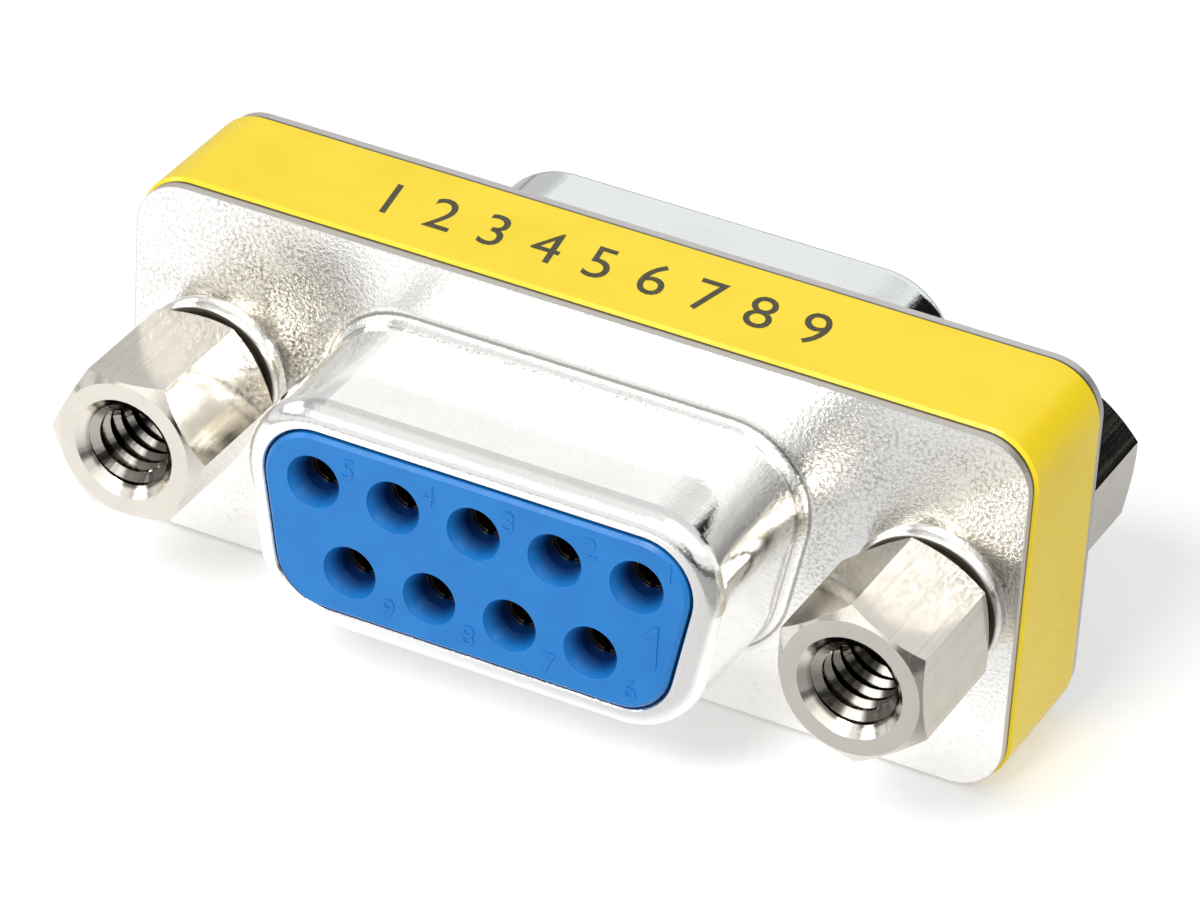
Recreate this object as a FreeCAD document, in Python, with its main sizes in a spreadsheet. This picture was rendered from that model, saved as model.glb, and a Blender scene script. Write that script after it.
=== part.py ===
"""Nine-way D-sub gender changer, socket face to socket face, in millimetres.

X runs along the body, Y through it from the front face (-Y) to the rear face (+Y), Z up.
The origin is the middle of the band's bottom face. Front pieces are drawn about the
connectors' axis, and rear pieces are the same drawings turned half round about Z.
"""
import FreeCAD, Part
import math
import os
import re
import Sketcher
from FreeCAD import Placement, Rotation, Vector

doc = FreeCAD.newDocument("gender_changer")

# Driving sizes: name, value, what it is
SIZES = [
    ("contact_pitch", 2.77, "from one contact to the next in a row"),
    ("row_gap", 2.84, "between the two rows of contacts"),
    ("screw_aside", 4.33, "side of the nose to a jack screw's axis"),
    ("flange_end", 2.905, "jack screw's axis to the end of the stamped plate"),
    ("flange_height", 12.5, "stamped plate, top to bottom"),
    ("flange_corner", 1.7, "corner radius of the plate"),
    ("sheet_gauge", 0.4, "thickness of the shells' sheet metal"),
    ("nose_width", 16.33, "outside of the drawn nose, left to right"),
    ("nose_height", 7.9, "outside of the drawn nose, top to bottom"),
    ("nose_corner", 2.6, "corner radius of the nose"),
    ("nose_slant", 10.0, "lean of the nose's two ends, in degrees"),
    ("nose_depth", 5.95, "plate's face to the nose's lip"),
    ("nose_edge", 0.75, "round between the nose's wall and its lip"),
    ("nose_root", 0.45, "round between the plate and the nose's wall"),
    ("lip_inset", 0.82, "nose's outside to the edge of its opening"),
    ("lip_edge", 0.05, "broken edge round the opening"),
    ("band_depth", 4.8, "moulded band between the two plates"),
    ("band_proud", 0.1, "band beyond the plates' outline, each side"),
    ("band_edge", 0.12, "broken edge round the band's two ends"),
    ("moulding_gap", 0.08, "clearance between an insulator and what holds it"),
    ("insulator_proud", 0.12, "insulator's face beyond the lip"),
    ("insulator_edge", 0.12, "broken edge of the insulator's face"),
    ("insulator_flange", 1.4, "thickness of the insulator's flange"),
    ("flange_reach", 1.3, "insulator's flange beyond its nose, each side"),
    ("mouth_width", 1.86, "contact's funnel at the insulator's face"),
    ("entry_width", 1.25, "contact's entry hole behind its funnel"),
    ("funnel_depth", 0.65, "depth of the funnel"),
    ("mark_rise", 0.04, "height of the moulded figure on the insulator's face"),
    ("mark_inset", 1.8, "side of the nose to the figure"),
    ("mark_height", 1.45, "figure, top to bottom"),
    ("mark_top", 0.25, "top of the figure above the connector's axis"),
    ("mark_stroke", 0.14, "width of the figure's stroke"),
    ("mark_flag", 0.4, "reach of the figure's flag"),
    ("mark_drop", 0.5, "top of the figure to the tip of its flag"),
    ("mark_notch", 0.4, "top of the figure to where its flag joins below"),
    ("contact_recess", 1.2, "insulator's face to the contact's mouth"),
    ("contact_width", 1.7, "outside of the contact's sleeve"),
    ("contact_bore", 1.08, "inside of the contact's sleeve"),
    ("contact_reach", 4.2, "depth of the contact's bore"),
    ("contact_gap", 0.04, "clearance round a contact in its cavity"),
    ("shoulder_width", 2.1, "contact's shoulder in the insulator's back"),
    ("shoulder_depth", 0.6, "length of the contact's shoulder"),
    ("tail_width", 0.8, "contact's tail, soldered to the link board"),
    ("slit_width", 0.2, "slit between the contact's two springs"),
    ("slit_depth", 3.0, "length of the slit"),
    ("board_thickness", 0.8, "link board"),
    ("board_gap", 0.3, "link board's edge to the band's cavity"),
    ("eyelet_width", 3.7, "outside of the eyelet's tube"),
    ("eyelet_bore", 3.2, "inside of the eyelet's tube"),
    ("eyelet_rim", 5.1, "width of the eyelet's rolled rims"),
    ("eyelet_roll", 0.45, "height of the eyelet's rolled rims"),
    ("eyelet_round", 0.38, "round of the rolled rims' outer edge"),
    ("eyelet_gap", 0.05, "clearance round the eyelet's tube"),
    ("hex_across", 4.76, "hexagon of a jack screw or nut, across its flats"),
    ("screw_length", 4.85, "length of a front jack screw's hexagon"),
    ("nut_length", 4.0, "length of a rear jack nut's hexagon"),
    ("hex_face", 4.6, "width of the hexagon's turned end faces"),
    ("hex_bevel", 0.3, "length of the bevel on the hexagon's corners"),
    ("neck_width", 4.2, "turned neck between the hexagon and the eyelet"),
    ("neck_length", 0.3, "length of the neck"),
    ("thread_width", 2.845, "outside of the screw thread"),
    ("thread_depth", 4.3, "depth of the jack screw's threaded hole"),
    ("thread_mouth", 0.32, "bevel at the mouth of a threaded hole"),
    ("pitch_width", 2.433, "thread's pitch diameter, where stud and nut are engaged"),
    ("stud_gap", 0.02, "stud inside its thread's outline, and nut outside it"),
    ("stud_grip", 1.8, "length of the stud inside the rear nut"),
    ("stud_spare", 0.1, "rear nut's engaged thread beyond the stud's end"),
    ("stud_bevel", 0.3, "bevel at the stud's end"),
    ("left_turn", 3.0, "where the left hexagons stopped, in degrees"),
    ("right_turn", 36.0, "where the right hexagons stopped, in degrees"),
]

# Sizes that follow from the driving ones
DERIVED = [
    ("screw_gap", "nose_width + 2 * screw_aside"),
    ("flange_width", "screw_gap + 2 * flange_end"),
    ("body_half", "band_depth / 2 + sheet_gauge"),
    ("band_width", "flange_width + 2 * band_proud"),
    ("band_height", "flange_height + 2 * band_proud"),
    ("band_corner", "flange_corner + band_proud"),
    ("axis_height", "band_height / 2"),
    ("inner_width", "nose_width - 2 * sheet_gauge"),
    ("block_end", "body_half + nose_depth - sheet_gauge - moulding_gap"),
    ("face_inset", "lip_inset + moulding_gap"),
    ("face_end", "body_half + nose_depth + insulator_proud"),
    ("cavity_reach", "flange_reach + moulding_gap"),
    ("contact_mouth", "face_end - contact_recess"),
    ("contact_back", "band_depth / 2 - insulator_flange"),
    ("shoulder_front", "contact_back + shoulder_depth"),
    ("board_half", "board_thickness / 2"),
    ("seat_height", "body_half + eyelet_roll"),
    ("hex_start", "seat_height + neck_length"),
    ("screw_end", "hex_start + screw_length"),
    ("nut_end", "hex_start + nut_length"),
    ("stud_end", "seat_height + stud_grip"),
    ("nut_thread", "nut_end - stud_end - stud_spare"),
]

sizes = doc.addObject("Spreadsheet::Sheet", "sizes")
for row, (name, value, note) in enumerate(SIZES + [entry + ("",) for entry in DERIVED], 1):
    sizes.set("A%d" % row, name)
    sizes.set("B%d" % row, str(value) if note else "=" + value)
    sizes.setAlias("B%d" % row, name)
    sizes.set("C%d" % row, note)
doc.recompute()

ORIGIN = (-1, 1)
ACROSS, UPRIGHT = -1, -2
WHOLE_TURN = 360.0
NEAR = 1e-4
UPPER_ROW = 5
CONTACTS = range(1, 10)


def bind(formula):
    """The formula with each size read from the sheet."""
    return re.sub(r"[a-z]+(?:_[a-z]+)+", r"sizes.\g<0>", formula)


def worth(formula):
    """What the formula comes to now."""
    return float(sizes.evalExpression(bind(formula)))


def drive(sketch, kind, places, formula, unit=""):
    """A constraint whose value follows the formula."""
    number = worth(formula)
    value = math.radians(number) if unit else number
    index = sketch.addConstraint(Sketcher.Constraint(kind, *places, value))
    label = "size%d" % index
    sketch.renameConstraint(index, label)
    sketch.setExpression("Constraints." + label, "(%s)%s" % (bind(formula), unit))


def hold(sketch, point, across, up):
    """Keeps a point where two formulas put it: 0 is on the axis, a minus is beyond it."""
    for kind, axis, formula in (("DistanceX", UPRIGHT, across), ("DistanceY", ACROSS, up)):
        if formula == "0":
            sketch.addConstraint(Sketcher.Constraint("PointOnObject", *point, axis))
        elif formula.startswith("-"):
            drive(sketch, kind, (*point, *ORIGIN), formula[1:])
        else:
            drive(sketch, kind, (*ORIGIN, *point), formula)


def sketchOn(body, name, role="XZ_Plane", lift=None):
    """A sketch on one of the body's planes, lifted off it by a formula."""
    sketch = body.newObject("Sketcher::SketchObject", name)
    plane = [feature for feature in body.Origin.OriginFeatures if feature.Role == role]
    sketch.AttachmentSupport = [(plane[0], "")]
    sketch.MapMode = "FlatFace"
    if lift:
        sketch.setExpression("AttachmentOffset.Base.z", bind(lift))
    return sketch


def drawFrame(sketch, width, height, corner, slant=None):
    """Closed outline with four equal corners, narrower below where its ends slant."""
    radius = worth(corner)
    rise = worth(height) / 2 - radius
    lean = math.radians(worth(slant)) if slant else 0.0
    upper = worth(width) / 2 - radius
    lower = upper - 2 * rise * math.tan(lean)
    quarter = math.pi / 2
    turns = [-lean, quarter, 2 * quarter + lean, 3 * quarter, 4 * quarter - lean]
    centres = [(upper, rise), (-upper, rise), (-lower, -rise), (lower, -rise)]
    arcs = []
    for (x, y), start, end in zip(centres, turns[:-1], turns[1:]):
        circle = Part.Circle(Vector(x, y, 0), Vector(0, 0, 1), radius)
        arcs.append(sketch.addGeometry(Part.ArcOfCircle(circle, start, end)))
    lines = []
    for here, there in zip(arcs, arcs[1:] + arcs[:1]):
        first = sketch.Geometry[here].EndPoint
        last = sketch.Geometry[there].StartPoint
        lines.append(sketch.addGeometry(Part.LineSegment(first, last)))
    for here, line, there in zip(arcs, lines, arcs[1:] + arcs[:1]):
        sketch.addConstraint(Sketcher.Constraint("Tangent", here, 2, line, 1))
        sketch.addConstraint(Sketcher.Constraint("Tangent", line, 2, there, 1))
    top, left, bottom, right = lines
    sketch.addConstraint(Sketcher.Constraint("Horizontal", top))
    sketch.addConstraint(Sketcher.Constraint("Horizontal", bottom))
    if slant:
        drive(sketch, "Angle", (right,), "90 - " + slant, " * 1 deg")
        drive(sketch, "Angle", (left,), slant + " - 90", " * 1 deg")
    else:
        sketch.addConstraint(Sketcher.Constraint("Vertical", right))
        sketch.addConstraint(Sketcher.Constraint("Vertical", left))
    drive(sketch, "Radius", (arcs[0],), corner)
    for arc in arcs[1:]:
        sketch.addConstraint(Sketcher.Constraint("Equal", arcs[0], arc))
    hold(sketch, (arcs[0], 3), "(%s) / 2 - (%s)" % (width, corner), "(%s) / 2 - (%s)" % (height, corner))
    drive(sketch, "DistanceX", (arcs[1], 3, *ORIGIN), "(%s) / 2 - (%s)" % (width, corner))
    drive(sketch, "DistanceY", (arcs[2], 3, *ORIGIN), "(%s) / 2 - (%s)" % (height, corner))


def drawNose(sketch, inset):
    """The nose's outline, taken in by a formula all round."""
    drawFrame(sketch, "nose_width - 2 * (%s)" % inset, "nose_height - 2 * (%s)" % inset,
              "nose_corner - (%s)" % inset, "nose_slant")


def spot(pair):
    """Point given by two formulas."""
    return Vector(*[-worth(text[1:]) if text.startswith("-") else worth(text) for text in pair], 0)


def drawCircles(sketch, centres, width):
    """Equal circles at places given by pairs of formulas."""
    for pair in centres:
        circle = Part.Circle(spot(pair), Vector(0, 0, 1), worth(width) / 2)
        index = sketch.addGeometry(circle)
        hold(sketch, (index, 3), *pair)
        drive(sketch, "Diameter", (index,), width)


def drawPath(sketch, points):
    """Closed run of straight lines through places given by pairs of formulas."""
    spots = [spot(pair) for pair in points]
    lines = [sketch.addGeometry(Part.LineSegment(here, there))
             for here, there in zip(spots, spots[1:] + spots[:1])]
    for line, following, pair in zip(lines, lines[1:] + lines[:1], points):
        sketch.addConstraint(Sketcher.Constraint("Coincident", line, 2, following, 1))
        hold(sketch, (line, 1), *pair)


def settle(feature, *others):
    """Works the new feature out, and stops where it or its sketch has failed."""
    doc.recompute()
    for item in (*others, feature):
        if "Invalid" in item.State or "Error" in item.State:
            raise ValueError("%s failed" % item.Label)
    return feature


def extrude(body, name, sketch, length, kind="Pad", reverse=False, midplane=False):
    feature = body.newObject("PartDesign::" + kind, name)
    feature.Profile = sketch
    feature.setExpression("Length", bind(length))
    feature.Reversed = reverse
    feature.Midplane = midplane
    return settle(feature, sketch)


def cut(body, name, sketch, length, reverse=False, midplane=False):
    """A pocket, which has to take something away."""
    before = body.Shape.Volume
    feature = extrude(body, name, sketch, length, "Pocket", reverse, midplane)
    if body.Shape.Volume > before - NEAR:
        raise ValueError("%s cuts nothing" % name)
    return feature


def turn(body, name, points, kind="Revolution"):
    """Revolves a half section, drawn as radius and place along Y, about the body's Y axis."""
    sketch = sketchOn(body, name + "_section", "XY_Plane")
    drawPath(sketch, points)
    feature = body.newObject("PartDesign::" + kind, name)
    feature.Profile = sketch
    feature.ReferenceAxis = (sketch, ["V_Axis"])
    feature.Angle = WHOLE_TURN
    return settle(feature, sketch)


def soften(body, name, size, wanted, kind="Fillet", depth=None):
    """Rounds or bevels the edges of the body's last feature that the test picks."""
    base = body.Tip
    picked = ["Edge%d" % number for number, edge in enumerate(base.Shape.Edges, 1) if wanted(edge)]
    if not picked:
        raise ValueError("%s finds no edge" % name)
    feature = body.newObject("PartDesign::" + kind, name)
    feature.Base = (base, picked)
    feature.setExpression("Radius" if kind == "Fillet" else "Size", bind(size))
    if depth:
        feature.ChamferType = "Two distances"
        feature.setExpression("Size2", bind(depth))
    return settle(feature)


def flatAt(depth, within=None):
    """Test for edges that lie in the plane Y = -depth, inside a width where one is given."""
    def test(edge):
        box = edge.BoundBox
        flat = abs(box.YMin + worth(depth)) < NEAR and abs(box.YMax + worth(depth)) < NEAR
        return flat and (within is None or max(-box.XMin, box.XMax) < worth(within) / 2 + NEAR)
    return test


def newBody(label):
    body = doc.addObject("PartDesign::Body", label)
    body.Label = label
    return body


def stand(body, side="front", across=None, up=None):
    """Puts a piece on the connectors' axis, turned half round if it is a rear one."""
    rear = side == "rear"
    body.Placement = Placement(Vector(), Rotation(Vector(0, 0, 1), WHOLE_TURN / 2 if rear else 0))
    if across:
        body.setExpression("Placement.Base.x", "%s(%s)" % ("-" if rear else "", bind(across)))
    body.setExpression("Placement.Base.z", bind("axis_height" + (" + " + up if up else "")))
    pieces.append(body)


def contactPlace(number):
    """Number of pitches to the right, and of row gaps up, seen from the contact's own face."""
    if number <= UPPER_ROW:
        return (1 + UPPER_ROW) / 2 - number, 0.5
    return (UPPER_ROW + 1 + CONTACTS[-1]) / 2 - number, -0.5


def signed(count, name):
    """Formula for so many times a size, with its sign in front."""
    if count == 0:
        return "0"
    return "%s%g * %s" % ("-" if count < 0 else "", abs(count), name)


pieces = []
screw_places = [("-screw_gap / 2", "0"), ("screw_gap / 2", "0")]
contact_places = []
for number in CONTACTS:
    pitches, rows = contactPlace(number)
    contact_places.append((signed(pitches, "contact_pitch"), signed(rows, "row_gap")))


def makeShell(side):
    """Stamped plate with its drawn nose: one sheet, rounded at the root and at the lip."""
    body = newBody(side + "_shell")
    plate = sketchOn(body, "plate_outline", lift="band_depth / 2")
    drawFrame(plate, "flange_width", "flange_height", "flange_corner")
    extrude(body, "plate", plate, "sheet_gauge")
    outside = sketchOn(body, "nose_outside", lift="body_half")
    drawNose(outside, "0 * nose_width")
    extrude(body, "nose", outside, "nose_depth")
    soften(body, "nose_round", "nose_edge", flatAt("body_half + nose_depth"))
    soften(body, "root_round", "nose_root", flatAt("body_half", "nose_width"))
    inside = sketchOn(body, "nose_inside", lift="band_depth / 2")
    drawNose(inside, "sheet_gauge")
    cut(body, "hollow", inside, "nose_depth", reverse=True)
    soften(body, "hollow_end_round", "nose_edge - sheet_gauge",
           flatAt("body_half + nose_depth - sheet_gauge"))
    soften(body, "hollow_root_round", "nose_root + sheet_gauge", flatAt("band_depth / 2", "inner_width"))
    opening = sketchOn(body, "opening_outline", lift="body_half + nose_depth")
    drawNose(opening, "lip_inset")
    cut(body, "opening", opening, "2 * sheet_gauge")
    soften(body, "lip_bevel", "lip_edge",
           flatAt("body_half + nose_depth", "nose_width - 2 * lip_inset"), "Chamfer")
    holes = sketchOn(body, "eyelet_holes", lift="body_half")
    drawCircles(holes, screw_places, "eyelet_width + 2 * eyelet_gap")
    cut(body, "holes", holes, "sheet_gauge")
    stand(body, side)


def makeInsulator(side):
    """Moulded block: a flange behind the plate, a nose, and a face with nine funnels and a figure 1."""
    body = newBody(side + "_insulator")
    flange = sketchOn(body, "flange_outline", lift="contact_back")
    drawNose(flange, "sheet_gauge - flange_reach")
    extrude(body, "flange", flange, "insulator_flange")
    block = sketchOn(body, "block_outline", lift="band_depth / 2")
    drawNose(block, "sheet_gauge + moulding_gap")
    extrude(body, "block", block, "block_end - band_depth / 2")
    soften(body, "block_bevel", "nose_edge - sheet_gauge", flatAt("block_end"), "Chamfer")
    face = sketchOn(body, "face_outline", lift="block_end")
    drawNose(face, "face_inset")
    extrude(body, "face", face, "face_end - block_end")
    soften(body, "face_bevel", "insulator_edge", flatAt("face_end"), "Chamfer")
    cavities = sketchOn(body, "cavity_circles", lift="contact_back")
    drawCircles(cavities, contact_places, "contact_width + 2 * contact_gap")
    cut(body, "cavities", cavities, "contact_mouth + contact_gap - contact_back", reverse=True)
    seats = sketchOn(body, "shoulder_circles", lift="contact_back")
    drawCircles(seats, contact_places, "shoulder_width + 2 * contact_gap")
    cut(body, "shoulder_seats", seats, "shoulder_depth", reverse=True)
    entries = sketchOn(body, "entry_circles", lift="face_end")
    drawCircles(entries, contact_places, "entry_width")
    cut(body, "entries", entries, "contact_recess")
    soften(body, "funnels", "(mouth_width - entry_width) / 2",
           lambda edge: flatAt("face_end")(edge) and edge.isClosed(), "Chamfer", "funnel_depth")
    figure = sketchOn(body, "figure_outline", lift="face_end")
    right, bottom = "nose_width / 2 - mark_inset", "-(mark_height - mark_top)"
    left = right + " - mark_stroke"
    drawPath(figure, [(right, bottom), (right, "mark_top"), (left, "mark_top"),
                      (left + " - mark_flag", "-(mark_drop - mark_top)"),
                      (left, "-(mark_notch - mark_top)"), (left, bottom)])
    extrude(body, "figure", figure, "mark_rise")
    stand(body, side)


def makeContact(side, number):
    """Turned socket: two sprung halves, a shoulder in the insulator's back and a tail."""
    body = newBody("%s_contact_%d" % (side, number))
    sleeve, bore = "contact_width / 2", "contact_bore / 2"
    turn(body, "socket", [
        (bore, "-contact_mouth"),
        (sleeve, "-contact_mouth"),
        (sleeve, "-shoulder_front"),
        ("shoulder_width / 2", "-shoulder_front"),
        ("shoulder_width / 2", "-contact_back"),
        ("tail_width / 2", "-contact_back"),
        ("tail_width / 2", "-board_half"),
        ("0", "-board_half"),
        ("0", "-(contact_mouth - contact_reach)"),
        (bore, "-(contact_mouth - contact_reach)"),
    ])
    slit = sketchOn(body, "slit_outline", lift="contact_mouth")
    half, reach = "slit_width / 2", "contact_width / 2 + contact_gap"
    drawPath(slit, [("-" + half, "-(%s)" % reach), (half, "-(%s)" % reach),
                    (half, reach), ("-" + half, reach)])
    cut(body, "slit", slit, "slit_depth")
    across, up = contact_places[number - 1]
    stand(body, side, across, up)


def makeBand():
    """Moulded spacer between the plates, hollow behind the two noses."""
    body = newBody("centre_band")
    outline = sketchOn(body, "band_outline")
    drawFrame(outline, "band_width", "band_height", "band_corner")
    extrude(body, "band", outline, "band_depth", midplane=True)
    soften(body, "front_bevel", "band_edge", flatAt("band_depth / 2"), "Chamfer")
    soften(body, "rear_bevel", "band_edge", flatAt("-band_depth / 2"), "Chamfer")
    cavity = sketchOn(body, "cavity_outline")
    drawNose(cavity, "sheet_gauge - cavity_reach")
    cut(body, "cavity", cavity, "2 * band_depth", midplane=True)
    holes = sketchOn(body, "eyelet_holes")
    drawCircles(holes, screw_places, "eyelet_width + 2 * eyelet_gap")
    cut(body, "holes", holes, "2 * band_depth", midplane=True)
    stand(body)


def makeLinkBoard():
    """Small board across the band's cavity that joins each front contact to its rear one."""
    body = newBody("link_board")
    outline = sketchOn(body, "board_outline")
    drawNose(outline, "sheet_gauge - cavity_reach + board_gap")
    extrude(body, "board", outline, "board_thickness", midplane=True)
    stand(body)


def makeEyelet(hand, across):
    """Tubular eyelet rolled over at both ends, which holds plates and band together."""
    body = newBody(hand + "_eyelet")
    tube, bore, rim = "eyelet_width / 2", "eyelet_bore / 2", "eyelet_rim / 2"
    turn(body, "eyelet", [
        (bore, "-seat_height"), (rim, "-seat_height"), (rim, "-body_half"), (tube, "-body_half"),
        (tube, "body_half"), (rim, "body_half"), (rim, "seat_height"), (bore, "seat_height"),
    ])
    for name, plane in (("front_roll", "seat_height"), ("rear_roll", "-seat_height")):
        soften(body, name, "eyelet_round",
               lambda edge: flatAt(plane)(edge) and edge.BoundBox.XLength > worth("eyelet_width"))
    stand(body, across=across)


def makeHexagon(body, turned, length, end):
    """Hexagon with turned ends and a turned neck, standing on the eyelet's rim."""
    outline = sketchOn(body, "hexagon_outline", lift="hex_start")
    radius = "hex_across / 2 / cos(30 deg)"
    start = math.radians(worth(turned))
    corners = [Vector(worth(radius) * math.cos(start + math.radians(60 * k)),
                      worth(radius) * math.sin(start + math.radians(60 * k)), 0) for k in range(6)]
    sides = [outline.addGeometry(Part.LineSegment(here, there))
             for here, there in zip(corners, corners[1:] + corners[:1])]
    circle = outline.addGeometry(Part.Circle(Vector(), Vector(0, 0, 1), worth(radius)), True)
    spoke = outline.addGeometry(Part.LineSegment(Vector(), corners[0]), True)
    outline.addConstraint(Sketcher.Constraint("Coincident", circle, 3, *ORIGIN))
    outline.addConstraint(Sketcher.Constraint("Coincident", spoke, 1, *ORIGIN))
    outline.addConstraint(Sketcher.Constraint("Coincident", spoke, 2, sides[0], 1))
    for here, there in zip(sides, sides[1:] + sides[:1]):
        outline.addConstraint(Sketcher.Constraint("Coincident", here, 2, there, 1))
        outline.addConstraint(Sketcher.Constraint("PointOnObject", here, 1, circle))
    for other in sides[1:]:
        outline.addConstraint(Sketcher.Constraint("Equal", sides[0], other))
    drive(outline, "Radius", (circle,), radius)
    drive(outline, "Angle", (spoke,), turned, " * 1 deg")
    extrude(body, "hexagon", outline, length)
    beyond = "hex_across"
    drop = "hex_bevel * (%s - hex_face / 2) / (%s - hex_face / 2)" % (beyond, radius)
    for name, place, sign in (("outer_bevel", end, "-"), ("inner_bevel", "hex_start", "+")):
        turn(body, name, [("hex_face / 2", "-" + place), (beyond, "-" + place),
                          (beyond, "-(%s %s %s)" % (place, sign, drop))], "Groove")
    neck = sketchOn(body, "neck_circle", lift="seat_height")
    drawCircles(neck, [("0", "0")], "neck_width")
    extrude(body, "neck", neck, "neck_length")


def boreThread(body, end, depth):
    """Threaded hole in the outer end, with its bevelled mouth."""
    circle = sketchOn(body, "thread_circle", lift=end)
    drawCircles(circle, [("0", "0")], "thread_width")
    cut(body, "thread", circle, depth)
    soften(body, "thread_bevel", "thread_mouth", flatAt(end, "thread_width"), "Chamfer")


def makeJackScrew(hand, across, turned):
    """Hexagon with a threaded hole for the plug's screw, and a stud right through the body."""
    body = newBody(hand + "_jack_screw")
    makeHexagon(body, turned, "screw_length", "screw_end")
    stud = sketchOn(body, "stud_circle", lift="seat_height")
    drawCircles(stud, [("0", "0")], "thread_width - 2 * stud_gap")
    extrude(body, "stud", stud, "2 * seat_height", reverse=True)
    tip = sketchOn(body, "tip_circle", lift="-seat_height")
    drawCircles(tip, [("0", "0")], "pitch_width - 2 * stud_gap")
    extrude(body, "stud_tip", tip, "stud_grip", reverse=True)
    soften(body, "stud_bevel", "stud_bevel", flatAt("-stud_end"), "Chamfer")
    boreThread(body, "screw_end", "thread_depth")
    stand(body, across=across)


def makeJackNut(hand, across, turned):
    """Hexagon threaded from both ends: the stud comes in behind, the plug's screw in front."""
    body = newBody(hand + "_jack_nut")
    makeHexagon(body, turned, "nut_length", "nut_end")
    seat = sketchOn(body, "stud_seat_circle", lift="seat_height")
    drawCircles(seat, [("0", "0")], "pitch_width + 2 * stud_gap")
    cut(body, "stud_seat", seat, "stud_grip + stud_spare", reverse=True)
    boreThread(body, "nut_end", "nut_thread")
    stand(body, "rear", across)


makeShell("front")
makeShell("rear")
makeBand()
makeInsulator("front")
makeInsulator("rear")
for side in ("front", "rear"):
    for number in CONTACTS:
        makeContact(side, number)
makeLinkBoard()
for hand, (across, up), turned in zip(("left", "right"), screw_places, ("left_turn", "right_turn")):
    makeEyelet(hand, across)
    makeJackScrew(hand, across, turned)
for hand, (across, up), turned in zip(("right", "left"), screw_places, ("right_turn", "left_turn")):
    makeJackNut(hand, across, turned)
doc.recompute()

for item in doc.Objects:
    if "Invalid" in item.State or "Error" in item.State:
        raise ValueError("%s failed: %s" % (item.Label, item.State))
for body in pieces:
    if body.Shape.isNull() or not body.Shape.isValid() or len(body.Shape.Solids) != 1:
        raise ValueError("%s is not one sound solid" % body.Label)

os.makedirs("parts", exist_ok=True)
for body in pieces:
    body.Shape.exportStep(os.path.join("parts", body.Label + ".step"))
    print("%-20s %9.3f mm3" % (body.Label, body.Shape.Volume))
print(len(pieces), "pieces")
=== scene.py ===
import math
import bpy
from mathutils import Euler, Matrix, Vector


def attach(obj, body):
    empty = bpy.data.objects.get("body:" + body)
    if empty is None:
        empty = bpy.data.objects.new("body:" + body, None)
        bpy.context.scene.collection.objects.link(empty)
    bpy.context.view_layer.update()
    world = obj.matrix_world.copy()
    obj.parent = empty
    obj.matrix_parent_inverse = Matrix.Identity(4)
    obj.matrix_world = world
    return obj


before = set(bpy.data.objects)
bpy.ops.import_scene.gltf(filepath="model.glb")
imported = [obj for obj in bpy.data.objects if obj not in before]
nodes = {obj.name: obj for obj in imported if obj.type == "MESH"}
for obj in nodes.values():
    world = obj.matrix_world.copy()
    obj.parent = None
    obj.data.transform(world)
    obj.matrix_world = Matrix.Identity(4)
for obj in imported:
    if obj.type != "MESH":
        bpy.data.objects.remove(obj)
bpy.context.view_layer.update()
scene = bpy.context.scene
scene.view_settings.view_transform = "Standard"
mm = 0.001
print("frame loaded:", len(nodes), "nodes")

# Camera, as it stood for the photograph
shot = {
    "turn": 25.50,         # degrees round to the right of the front face
    "height": 32.46,       # degrees above it
    "roll": 3.49,
    "distance": 207.746,
    "target": (0.0, -2.8, 6.35),
    "focal": 6696.7,       # in pixels of the 1200 wide picture
    "picture": 1200.0,
    "aside": (37.09, 32.20),
    "sensor": 36.0,
    "sees": (10, 100000),  # nearest and farthest, in millimetres
}


def placeCamera(shot):
    turn, height, roll = (math.radians(shot[key]) for key in ("turn", "height", "roll"))
    level = math.cos(height)
    back = Vector((math.sin(turn) * level, -math.cos(turn) * level, math.sin(height)))
    right = Vector((math.cos(turn), math.sin(turn), 0))
    up = back.cross(right)
    across = math.cos(roll) * right + math.sin(roll) * up
    upward = math.cos(roll) * up - math.sin(roll) * right
    data = bpy.data.cameras.new("camera")
    data.sensor_width = shot["sensor"]
    data.lens = shot["focal"] / shot["picture"] * shot["sensor"]
    data.shift_x, data.shift_y = (pixels / shot["picture"] for pixels in shot["aside"])
    data.clip_start, data.clip_end = (reach * mm for reach in shot["sees"])
    camera = bpy.data.objects.new("camera", data)
    scene.collection.objects.link(camera)
    spot = Vector(shot["target"]) * mm + back * shot["distance"] * mm
    axes = Matrix((across, upward, back)).transposed()
    camera.matrix_world = Matrix.Translation(spot) @ axes.to_4x4()
    scene.camera = camera


placeCamera(shot)
print("camera placed")


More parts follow.
